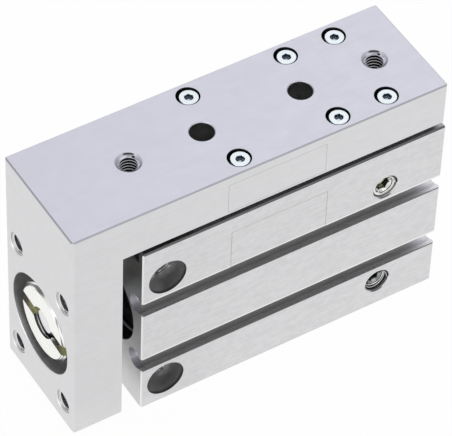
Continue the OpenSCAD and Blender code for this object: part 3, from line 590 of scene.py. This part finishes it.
def sensor_slot(coat, z):
    low, high = z - slot_reach, z + slot_reach
    slot_y, deep_y, mouth_ends = near_y + 0.13, near_y + 5, (near_y + 0.80, near_y + 0.86)
    slot = coat.box((front_x + 1.2, slot_y, low), (rear_x - 0.02, deep_y, high))
    round_part = coat.both(coat.along("y", near_y + 0.85, near_y + 1.9, 0.88, 0.50),
                           coat.along("y", *mouth_ends))
    mouth = coat.along("y", *mouth_ends, 0.58, 0.0)
    # Painted light and shade: the slot's mouth and its round part each get a grey of their own,
    # falling deeper in.
    coat.paint(slot, 1.0, coat.grey(coat.either(round_part, mouth)))
    # Painted light at the slot's open rear end.
    open_end = coat.both(slot, coat.along("x", rear_x - 4.4, rear_x - 1.8))
    coat.paint(open_end, 0.85, (0.75, 0.74, 0.78))
    # Painted highlight along the slot's upper lip.
    lit = coat.box((front_x + 0.2, near_y - 1, z + slot_half),
                   (rear_x + 1, near_y + 0.05, z + slot_half + 0.35))
    coat.paint(lit, 0.7, 0.98)
    # Painted light on the walls at the slot's front end.
    start = coat.box((front_x + 0.02, slot_y, low), (front_x + 1.3, deep_y, high))
    coat.paint(coat.both(start, coat.wall_along("x")), 0.9, (0.48, 0.47, 0.52))
    coat.rough = calc(coat.tree, "ADD", coat.rough, calc(coat.tree, "MULTIPLY", start, 0.2))


def housing_touch(coat):
    inside = coat.box((front_x + 0.35, near_y + 0.35, 0.4),
                      (rear_x - 0.35, far_y - 0.35, housing_top - 0.3))
    # Painted shade on every inside surface of the housing.
    coat.paint(inside, 0.8, (0.30, 0.30, 0.305))
    counterbores(coat)
    front_end(coat)
    reach = 9.2
    bore = coat.box((front_x + 0.02, -reach, axis_z - reach), (rear_x - 0.2, reach, axis_z + reach))
    # Painted shade: the bore is painted nearly black.
    coat.paint(bore, 0.95, (0.012, 0.012, 0.010))
    for z in sensor_slot_z:
        sensor_slot(coat, z)
    housing_outside(coat)


give("housing", metal("anodised_aluminium", (0.70, 0.70, 0.71), 0.42, (0.3, 2.0, 2.0), 1.2,
                      tone=0.06, bump=0.06, touch=housing_touch))
print("housing finished")

# %% [markdown]
# ## Turned pieces
#
# The caps, the rod, the bush and the coupling nut are turned on a lathe, which leaves fine rings
# round the cylinder's axis. A sine of the distance from the axis makes the rings. The front cap
# sits deep in the shade of the yoke, and that shade is painted on: its face is painted darker than
# the rear one.

# %% Rings round the cylinder's axis
RINGS_PER_MM = 3.0


def radius_of(coat):
    dz = calc(coat.tree, "SUBTRACT", coat.at["z"], axis_z * MM)
    return coat.length(coat.at["y"], dz), dz


def turned(coat):
    radius, _ = radius_of(coat)
    path = calc(coat.tree, "ADD", radius, calc(coat.tree, "MULTIPLY", coat.at["x"], 0.6))
    wave = calc(coat.tree, "MULTIPLY", coat.waves(path, RINGS_PER_MM), 0.5)
    coat.height = calc(coat.tree, "ADD", wave, coat.height)


def cap_touch(coat):
    front_half = coat.along("x", 0, 1, *FALLING)
    # Painted shade of the yoke on the front cap: the front half is painted dark.
    coat.paint(front_half, 0.9, 0.10)
    turned(coat)


print("rings per mm:", RINGS_PER_MM)

# %% [markdown]
# The coupling nut is nickel-plated. Its screwdriver slot's floor is painted a darker, dull olive as
# painted shade in the slot. Its chamfer has painted highlights and painted shade as bright and dark
# streaks that run round it, and the well round the rod's end is painted black as painted shade,
# with painted highlights on light thread crests near its mouth. The streaks are noise that is
# stretched along the circle by taking it on radius and angle. The crests are a sine of the place
# along the axis, and adding the angle to it makes them wind as a thread does.

# %% Coupling nut
def ring(coat, inner_mm, outer_mm, soft_mm=0.1):
    radius, _ = radius_of(coat)
    return coat.band(radius, (inner_mm - soft_mm, inner_mm), (outer_mm, outer_mm + soft_mm))


def nut_touch(coat, pitch_mm=0.8):
    face = nut_low[0]
    slot_floor = coat.box((face + 0.9, -20, 0), (face + 1.95, 20, 40), 0.05)
    # Painted shade on the slot's floor: a darker, dull olive.
    coat.paint(slot_floor, 0.85, (0.62, 0.60, 0.39))
    radius, dz = radius_of(coat)
    angle = calc(coat.tree, "ARCTAN2", coat.at["y"], dz)
    across, around = 3 / MM, 1.6
    round_it = add(coat.tree, "ShaderNodeCombineXYZ",
                   X=calc(coat.tree, "MULTIPLY", radius, across),
                   Y=calc(coat.tree, "MULTIPLY", angle, around))
    streaks = add(coat.tree, "ShaderNodeTexNoise", Vector=round_it.outputs[0], Scale=1.0,
                  Detail=1.0)
    tone = ramp(coat.tree, streaks.outputs["Fac"], 0.40, 0.60, 0.12, 0.92)
    # Painted highlights and painted shade: bright and dark streaks round the chamfer.
    coat.paint(coat.both(coat.slanted("x"), ring(coat, 6.5, 9.0)), 0.9, coat.grey(tone))
    along_x = calc(coat.tree, "MULTIPLY", coat.at["x"], 2 * math.pi / (pitch_mm * MM))
    turns = calc(coat.tree, "SINE", calc(coat.tree, "ADD", along_x, angle))
    crests = coat.both(ramp(coat.tree, turns, 0.3, 0.9),
                       coat.along("x", face + 1.0, face + 1.3, *FALLING))
    wall = blend(coat.tree, crests, (0.02, 0.02, 0.018), (0.92, 0.90, 0.86))
    # Painted shade in the well round the rod's end, with painted highlights on its thread crests
    # near the mouth.
    coat.paint(coat.both(coat.wall_along("x"), ring(coat, 2.0, 3.3)), 0.95, wall)
    turned(coat)


print("nut face at x %.2f" % nut_low[0])

# %% [markdown]
# ## Screws' finishes
#
# The small cap screws are zinc plated, bright blue-white on the head. Below the head, inside the
# counterbore, they are painted dark as painted shade, and the floor of each hexagon is painted
# bright as a painted highlight. The set screws in the side ports are nickel plated. Their hexagons
# are painted dark as painted shade, and the lower one stands deeper and is painted darker still.

# %% Cap screws and set screws
def cap_screw_touch(coat):
    # Painted shade below the head, inside the counterbore.
    coat.paint(coat.along("z", top_z - 0.45, top_z - 0.40, *FALLING), 0.97, (0.065, 0.085, 0.12))
    hex_floor = coat.both(coat.along("z", top_z - 0.95, top_z - 0.85, *FALLING),
                          coat.looks("z", 0.3, 0.6))
    # Painted highlight on the floor of the hexagon.
    coat.paint(hex_floor, 0.9, (0.80, 0.88, 0.96))


def set_screw_touch(coat):
    walls = coat.both(coat.wall_along("y"), coat.along("y", near_y + 0.6, near_y + 0.7))
    # Painted shade on the hexagon's walls.
    coat.paint(walls, 0.9, (0.12, 0.12, 0.08))
    lower = coat.both(coat.along("z", 18, 19, *FALLING),
                      coat.along("y", near_y + 1.25, near_y + 1.35))
    # Painted shade: the lower set screw stands deeper and is painted darker.
    coat.paint(lower, 0.75, (0.10, 0.125, 0.13))
    floors = coat.both(coat.looks("y", -0.95, -0.8, *FALLING),
                       coat.along("y", near_y + 1.7, near_y + 1.8))
    # Painted shade: the hexagon's floors are painted a dark olive.
    coat.paint(floors, 0.8, (0.30, 0.30, 0.20))


print("heads at z %.2f" % (top_z - 0.4))

# %% [markdown]
# ## The other finishes
#
# Each of the other pieces gets the finish of its real material: ground rails, bright balls, a
# polished rod, a bronze bush, brass cages, black seals and amber cushions. The record says which
# material slot a piece belongs to, so one table serves them all. Plastic and rubber use the same
# grain with no metal in it.

# %% The table of finishes
def soft(name, color, roughness, speckle_mm=0.4, tone=0.15, bump=0.3):
    return metal(name, color, roughness, (1 / speckle_mm,) * 3, 3.0, tone, bump, metallic=0.0)


finishes = {}


def set_finish(slot, kind, *settings, **more):
    finishes[slot] = kind(slot, *settings, **more)


set_finish("turned_aluminium", metal, (0.55, 0.55, 0.57), 0.35, touch=cap_touch)
set_finish("hardened_steel", metal, (0.42, 0.43, 0.45), 0.3, (0.15, 6.0, 6.0))
set_finish("steel_screws", metal, (0.30, 0.30, 0.31), 0.35, (2.0, 2.0, 2.0))
set_finish("zinc_plated_steel", metal, (0.60, 0.62, 0.64), 0.33, (1.5, 1.5, 1.5))
set_finish("zinc_screws", metal, (0.76, 0.82, 0.86), 0.25, (2.0, 2.0, 2.0), tone=0.04,
           touch=cap_screw_touch)
set_finish("spring_steel", metal, (0.16, 0.16, 0.17), 0.35, (2.0, 2.0, 2.0))
set_finish("rod_steel", metal, (0.75, 0.75, 0.77), 0.12, bump=0.05, touch=turned)
set_finish("nickel_plug", metal, (0.74, 0.735, 0.71), 0.14, (1.5, 1.5, 1.5), bump=0.06,
           touch=set_screw_touch)
set_finish("coupling_nickel", metal, (0.90, 0.90, 0.87), 0.22, tone=0.05, touch=nut_touch)
set_finish("bronze", metal, (0.62, 0.44, 0.22), 0.3, touch=turned)
set_finish("cage_brass", metal, (0.74, 0.58, 0.28), 0.3, (0.4, 3.0, 3.0))
set_finish("ball_steel", metal, (0.75, 0.76, 0.78), 0.08, (3.0, 3.0, 3.0), tone=0.03, bump=0.02)
set_finish("seal_rubber", soft, (0.025, 0.025, 0.027), 0.55)
set_finish("cushion_elastomer", soft, (0.45, 0.31, 0.13), 0.4)
set_finish("guide_plastic", soft, (0.40, 0.31, 0.19), 0.5)
set_finish("magnet", soft, (0.06, 0.06, 0.07), 0.5)
for part in frame["record"]["subparts"]:
    if part["material_slot"] in finishes:
        give(part["node"], finishes[part["material_slot"]])
print("finishes:", len(finishes), "besides those of the slide and the housing")

# %% [markdown]
# ## Growing details with Geometry Nodes
#
# Threads and screws repeat, so each kind is one Geometry Nodes tree. A tree takes a few points, one
# for each hole or screw, and a few named sizes, and puts one copy on each point. The copies are
# made real and coated inside the tree, because a copy that stays an instance is lost when the
# result is kept as a plain mesh.

# %% A tree's shell: its inputs, and its end
def new_tree(name, sizes):
    tree = bpy.data.node_groups.new(name, "GeometryNodeTree")
    tree.interface.new_socket("Points", in_out="INPUT", socket_type="NodeSocketGeometry")
    for label, kind in sizes.items():
        tree.interface.new_socket(label, in_out="INPUT", socket_type="NodeSocket" + kind)
    tree.interface.new_socket("Result", in_out="OUTPUT", socket_type="NodeSocketGeometry")
    return tree, tree.nodes.new("NodeGroupInput").outputs


def finish_tree(tree, given, shape, spin=None):
    turn = given["Turn"]
    if spin:
        turn = add(tree, "FunctionNodeRotateRotation", {"rotation_space": "LOCAL"},
                   i0=turn, i1=spin).outputs[0]
    on_points = add(tree, "GeometryNodeInstanceOnPoints", Points=given["Points"],
                    Instance=shape, Rotation=turn)
    real = add(tree, "GeometryNodeRealizeInstances", Geometry=on_points.outputs[0])
    coated = add(tree, "GeometryNodeSetMaterial", Geometry=real.outputs[0],
                 Material=given["Finish"])
    tree.links.new(coated.outputs[0], tree.nodes.new("NodeGroupOutput").inputs[0])


print("tree shell ready")

# %% [markdown]
# Copies can come out with their faces pointing inwards. The sign of a closed mesh's volume tells
# which way they point, so one test is enough to put them right.

# %% Faces point outwards
def turn_outwards(mesh):
    work = bmesh.new()
    work.from_mesh(mesh)
    bmesh.ops.remove_doubles(work, verts=work.verts, dist=1e-7)
    bmesh.ops.recalc_face_normals(work, faces=work.faces)
    if work.calc_volume(signed=True) < 0:
        bmesh.ops.reverse_faces(work, faces=work.faces)
    work.to_mesh(mesh)
    work.free()


print("face test ready")

# %% [markdown]
# `grow` runs a tree on its points. The modifier's inputs are set by their identifiers before the
# object is first evaluated. The result is kept as a plain mesh and the modifier is taken off, so
# the finished object holds nothing live. It then rides on its CAD body. `mm` turns sizes in
# millimetres into metres.

# %% Run a tree and keep a plain mesh
def mm(**sizes):
    return {name: size * MM for name, size in sizes.items()}


def grow(tree, name, points_mm, body, slot, **values):
    mesh = bpy.data.meshes.new(name)
    mesh.from_pydata([[v * MM for v in p] for p in points_mm], [], [])
    thing = bpy.data.objects.new(name, mesh)
    bpy.context.scene.collection.objects.link(thing)
    modifier = thing.modifiers.new("grow", "NODES")
    modifier.node_group = tree
    for item in tree.interface.items_tree:
        if item.in_out == "INPUT" and item.name != "Points":
            modifier[item.identifier] = values[item.name.replace(" ", "_").lower()]
    bpy.context.view_layer.update()
    ready = thing.evaluated_get(bpy.context.evaluated_depsgraph_get())
    plain = bpy.data.meshes.new_from_object(ready)
    thing.modifiers.clear()
    thing.data = plain
    plain.name = name
    turn_outwards(plain)
    plain.shade_smooth()
    plain.set_sharp_from_angle(angle=math.radians(35))
    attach(thing, body)
    print("%s: %d faces" % (name, len(plain.polygons)))
    return thing


print("ready to grow details")

# %% [markdown]
# ## Threads
#
# A thread is a ridge that winds round a cylinder. A spiral curve gives its path, and a small
# triangle swept along the path gives the ridge. In a threaded hole the triangle points to the axis,
# and on a rod's end away from it. The curve's normals are held upright, or the triangle would twist
# on its way. A displaced cylinder could show the same lines, but a real ridge keeps its shape in
# the plain mesh.

# %% The thread tree
def thread_tree():
    tree, given = new_tree("thread_turns", {
        "Radius": "Float", "Pitch": "Float", "Length": "Float", "Ridge": "Float", "Tip": "Float",
        "Turn": "Rotation", "Finish": "Material"})
    path = add(tree, "GeometryNodeCurveSpiral", Resolution=28, Height=given["Length"],
               Rotations=calc(tree, "DIVIDE", given["Length"], given["Pitch"]),
               Start_Radius=given["Radius"], End_Radius=given["Radius"])
    level = add(tree, "GeometryNodeSetCurveNormal", {"mode": "Z_UP"}, Curve=path.outputs[0])
    ridge = add(tree, "GeometryNodeCurvePrimitiveCircle", Resolution=3, Radius=given["Ridge"])
    is_tip = add(tree, "FunctionNodeCompare", {"data_type": "INT", "operation": "EQUAL"},
                 i2=add(tree, "GeometryNodeInputIndex").outputs[0], i3=0)
    marked = add(tree, "GeometryNodeStoreNamedAttribute", {"data_type": "FLOAT", "domain": "POINT"},
                 Geometry=ridge.outputs[0], Name="crest", Value=is_tip.outputs[0])
    spin = add(tree, "ShaderNodeCombineXYZ", Z=given["Tip"])
    aimed = add(tree, "GeometryNodeTransform", Geometry=marked.outputs[0], Rotation=spin.outputs[0])
    swept = add(tree, "GeometryNodeCurveToMesh", Curve=level.outputs[0],
                Profile_Curve=aimed.outputs[0], Fill_Caps=True)
    finish_tree(tree, given, swept.outputs[0])
    return tree


threads = thread_tree()
print("thread tree:", len(threads.nodes), "nodes")

# %% [markdown]
# Light reaches a thread's crests and not its roots. The tree marks the triangle's tip with an
# attribute named crest, and the material reads it: bright at the crest, dark at the root. The
# yoke's threads show more of their flanks, so their two tones lie closer together.

# %% Thread metal
def thread_metal(name, crest, root):
    material = metal(name, crest, 0.3, (1.0, 1.0, 1.0), tone=0.1, bump=0.05)
    tree = material.node_tree
    color = tree.nodes["Principled BSDF"].inputs["Base Color"]
    height = add(tree, "ShaderNodeAttribute", {"attribute_name": "crest"}).outputs["Fac"]
    plug(tree, color, blend(tree, ramp(tree, height, 0.62, 0.95), root, color.links[0].from_socket))
    return material


port_thread = thread_metal("cut_thread", (0.75, 0.75, 0.77), (0.012, 0.011, 0.018))
table_thread = thread_metal("table_thread", (0.60, 0.60, 0.63), (0.018, 0.017, 0.026))
# The yoke's thread roots are painted lighter: painted light on the flanks.
yoke_thread = thread_metal("dull_thread", (0.70, 0.70, 0.71), (0.25, 0.25, 0.26))
print("thread metals: 3")

# %% [markdown]
# The slide has M4 threads: two in the table for the load, and four in the yoke. A ridge is sunk a
# little into the wall, so that no gap shows at its foot.

# %% Cut turns into the slide's M4 holes
M4, M5, RIDGE_MM = (2.0, 0.7), (2.5, 0.8), 0.27
INWARDS, OUTWARDS = 0.0, math.pi
QUARTER = math.pi / 2
UP, ALONG_X, BACK_X, ALONG_Y = (0, 0, 0), (0, QUARTER, 0), (0, -QUARTER, 0), (-QUARTER, 0, 0)


def cut_turns(name, points_mm, body, slot, finish, thread, length_mm, turn,
              tip=INWARDS, ridge_mm=RIDGE_MM):
    radius_mm, pitch_mm = thread
    sink = 0.12 if tip == INWARDS else -0.1
    sizes = mm(radius=radius_mm - sink, pitch=pitch_mm, length=length_mm, ridge=ridge_mm)
    grow(threads, name, points_mm, body, slot, **sizes, tip=tip, turn=turn, finish=finish)


yoke_holes = [(y, z) for y in (-yoke_hole_y, yoke_hole_y) for z in yoke_hole_z]
cut_turns("table_thread_turns", [(x, 0, plate_z + 0.3) for x in table_hole_x],
          "slide", "slide_aluminium", table_thread, M4, 8.35, UP)
cut_turns("yoke_thread_turns", [(yoke_x + 0.6, y, z) for y, z in yoke_holes],
          "slide", "slide_aluminium", yoke_thread, M4, 8.9, ALONG_X)

# %% [markdown]
# Where the first turn runs out into the chamfer, it leaves a worn lip. The lip is a small ring at
# the mouth of each hole. The same tree makes it, as a single turn with next to no pitch.

# %% Worn lips at their mouths
FLAT_MM = 0.01


def worn_lips(name, points_mm, finish, turn, radius_mm):
    sizes = mm(radius=radius_mm, pitch=FLAT_MM, length=FLAT_MM, ridge=RIDGE_MM)
    grow(threads, name, points_mm, "slide", "slide_aluminium", **sizes, tip=INWARDS, turn=turn,
         finish=finish)


# The lips are painted a lavender grey, darker than the bare metal: painted shade in the holes'
# mouths.
lip_metal = metal("cut_mouth", (0.52, 0.52, 0.60), 0.35, (1.0, 1.0, 6.0), 1.5, tone=0.5, bump=0.1)
worn_lips("table_thread_mouths", [(x, 0, top_z - 0.60) for x in table_hole_x], lip_metal, UP, 1.86)
worn_lips("yoke_thread_mouths", [(yoke_x + 0.60, y, z) for y, z in yoke_holes],
          slide_finish, ALONG_X, 2.0)

# %% [markdown]
# The air ports are M5. The two on the near side are closed by set screws, so only the turns in
# front of the screws are cut. The two at the rear end are open and deeper. The rod's end has the
# same thread outside.

# %% Cut turns into the air ports and round the rod's end
plugs = {name: corners(name + "_port_plug") for name in ("lower", "upper")}
port_x, port_z = {}, {}
for name, (low, high) in plugs.items():
    port_x[name], port_z[name] = (low[0] + high[0]) / 2, (low[2] + high[2]) / 2
    before = low[1] - near_y - (0.28 if name == "lower" else 0.1)
    cut_turns(name + "_port_turns", [(port_x[name], near_y + 0.28, port_z[name])], "housing",
              "anodised_aluminium", port_thread, M5, before, ALONG_Y)
rear_ports = [(rear_x - 0.3, 0, z) for z in (port_z["upper"] + 0.6, port_z["lower"])]
cut_turns("rear_port_turns", rear_ports, "housing", "anodised_aluminium", port_thread, M5, 5.4,
          BACK_X)
cut_turns("rod_end_turns", [(rod_low[0] + 0.3, 0, axis_z)], "slide", "rod_steel", port_thread, M5,
          2.0, ALONG_X, OUTWARDS, 0.22)

# %% [markdown]
# ## Socket screws
#
# A socket screw starts as a turned blank, and then a hexagon is taken out of its head. A tree can
# do the same with booleans on plain cylinders and cones. Two helpers keep such a tree short:
# `solid` makes a shape at a height, and `combine` joins shapes or takes them away.

# %% Shapes and booleans in a tree
def solid(tree, kind, z, around=40, **sizes):
    shape = add(tree, "GeometryNodeMesh" + kind, Vertices=around, **sizes)
    lift = add(tree, "ShaderNodeCombineXYZ", Z=z)
    return add(tree, "GeometryNodeTransform", Geometry=shape.outputs[0],
               Translation=lift.outputs[0]).outputs[0]


def combine(tree, operation, *shapes):
    node = add(tree, "GeometryNodeMeshBoolean", {"operation": operation, "solver": "EXACT"})
    if operation == "DIFFERENCE":
        tree.links.new(shapes[0], node.inputs["Mesh 1"])
        shapes = shapes[1:]
    for shape in shapes:
        tree.links.new(shape, node.inputs["Mesh 2"])
    return node.outputs[0]


print("tree shapes ready")

# %% [markdown]
# The blank is a head, its bevelled rim and a shank. A hexagon, a wide lead-in at its mouth and the
# cone that a drill leaves under it are taken out. One tree serves the small cap screws of the rails
# and the set screws that close the side ports. Each copy is turned by a random angle from a fixed
# seed, because real screws stop wherever they are tight.

# %% The socket screw tree
def socket_screw_tree():
    sizes = ("Head Radius", "Head Height", "Bevel", "Shank Radius", "Shank Length", "Hex Radius",
             "Hex Depth", "Lead Radius")
    tree, given = new_tree("socket_screw", {
        **{size: "Float" for size in sizes}, "Turn": "Rotation", "Seed": "Int",
        "Finish": "Material"})
    radius, tall, bevel = given["Head Radius"], given["Head Height"], given["Bevel"]
    head = solid(tree, "Cylinder", calc(tree, "MULTIPLY", calc(tree, "ADD", tall, bevel), -0.5),
                 Radius=radius, Depth=calc(tree, "SUBTRACT", tall, bevel))
    rim = solid(tree, "Cone", calc(tree, "MULTIPLY", bevel, -1.0), Radius_Bottom=radius,
                Radius_Top=calc(tree, "SUBTRACT", radius, bevel), Depth=bevel)
    shank_long = given["Shank Length"]
    middle = calc(tree, "SUBTRACT", calc(tree, "MULTIPLY", shank_long, -0.5), tall)
    shank = solid(tree, "Cylinder", middle, Radius=given["Shank Radius"], Depth=shank_long)
    blank = combine(tree, "UNION", head, rim, shank)
    key, deep = given["Hex Radius"], given["Hex Depth"]
    hexagon = solid(tree, "Cylinder", 0.0, Radius=key, Depth=calc(tree, "MULTIPLY", deep, 2.0),
                    around=6)
    drill = solid(tree, "Cone", calc(tree, "MULTIPLY", deep, -1.25), Radius_Top=key,
                  Radius_Bottom=0.0, Depth=calc(tree, "MULTIPLY", deep, 0.5), around=24)
    reach = calc(tree, "MULTIPLY", given["Lead Radius"], 2.0)
    lead = solid(tree, "Cone", calc(tree, "MULTIPLY", given["Lead Radius"], -1.0), Radius_Top=reach,
                 Radius_Bottom=0.0, Depth=reach)
    made = combine(tree, "DIFFERENCE", blank, hexagon, lead, drill)
    angle = add(tree, "FunctionNodeRandomValue", {"data_type": "FLOAT"},
                Seed=given["Seed"], i3=math.pi / 3)
    spin = add(tree, "ShaderNodeCombineXYZ", Z=angle.outputs[1])
    turned_by = add(tree, "FunctionNodeEulerToRotation", i0=spin.outputs[0]).outputs[0]
    finish_tree(tree, given, made, turned_by)
    return tree


screw = socket_screw_tree()
print("socket screw tree:", len(screw.nodes), "nodes")

# %% [markdown]
# Six cap screws hold the two rails under the table, three in each row. The CAD model's plain screws
# give their places and then stay behind for collision only, hidden.

# %% Screws that hold the rails
head_r, rail_screw_step = 1.9, (0, 20, 30)
screws_low, screws_high = corners("rail_screws")
row_y = (screws_high[1] - screws_low[1]) / 2 - head_r
rail_screw_points = [(screws_low[0] + head_r + step, y, screws_high[2])
                     for step in rail_screw_step for y in (-row_y, row_y)]
cap_sizes = mm(head_radius=head_r, head_height=2.0, bevel=0.2, shank_radius=1.0, shank_length=10.0,
               hex_radius=0.87, hex_depth=1.0, lead_radius=0.85)
cap_screws = grow(screw, "rail_cap_screws", rail_screw_points, "slide", "zinc_screws", **cap_sizes,
                  turn=UP, seed=4, finish=finishes["zinc_screws"])
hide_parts("rail_screws")

# %% [markdown]
# A set screw has no head. It is the same tree with a wide, short shank, lying on its side.

# %% Set screws that close the side ports
for name, seed in (("upper", 3), ("lower", 8)):
    low, high = plugs[name]
    shank_mm = 0.5
    sizes = mm(head_radius=2.45, head_height=high[1] - low[1] - shank_mm, bevel=0.2,
               shank_radius=2.0, shank_length=shank_mm, hex_radius=1.44, hex_depth=1.4,
               lead_radius=1.9)
    piece = grow(screw, name + "_set_screw", [(port_x[name], low[1], port_z[name])], "housing",
                 "nickel_plug", **sizes, turn=(QUARTER, 0, 0), seed=seed,
                 finish=finishes["nickel_plug"])
    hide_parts(name + "_port_plug")

# %% [markdown]
# ## The end
#
# The last cell measures the finished object's box, as the first measured the CAD model's box.

# %% Measure the finished object's box and end
low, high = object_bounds()
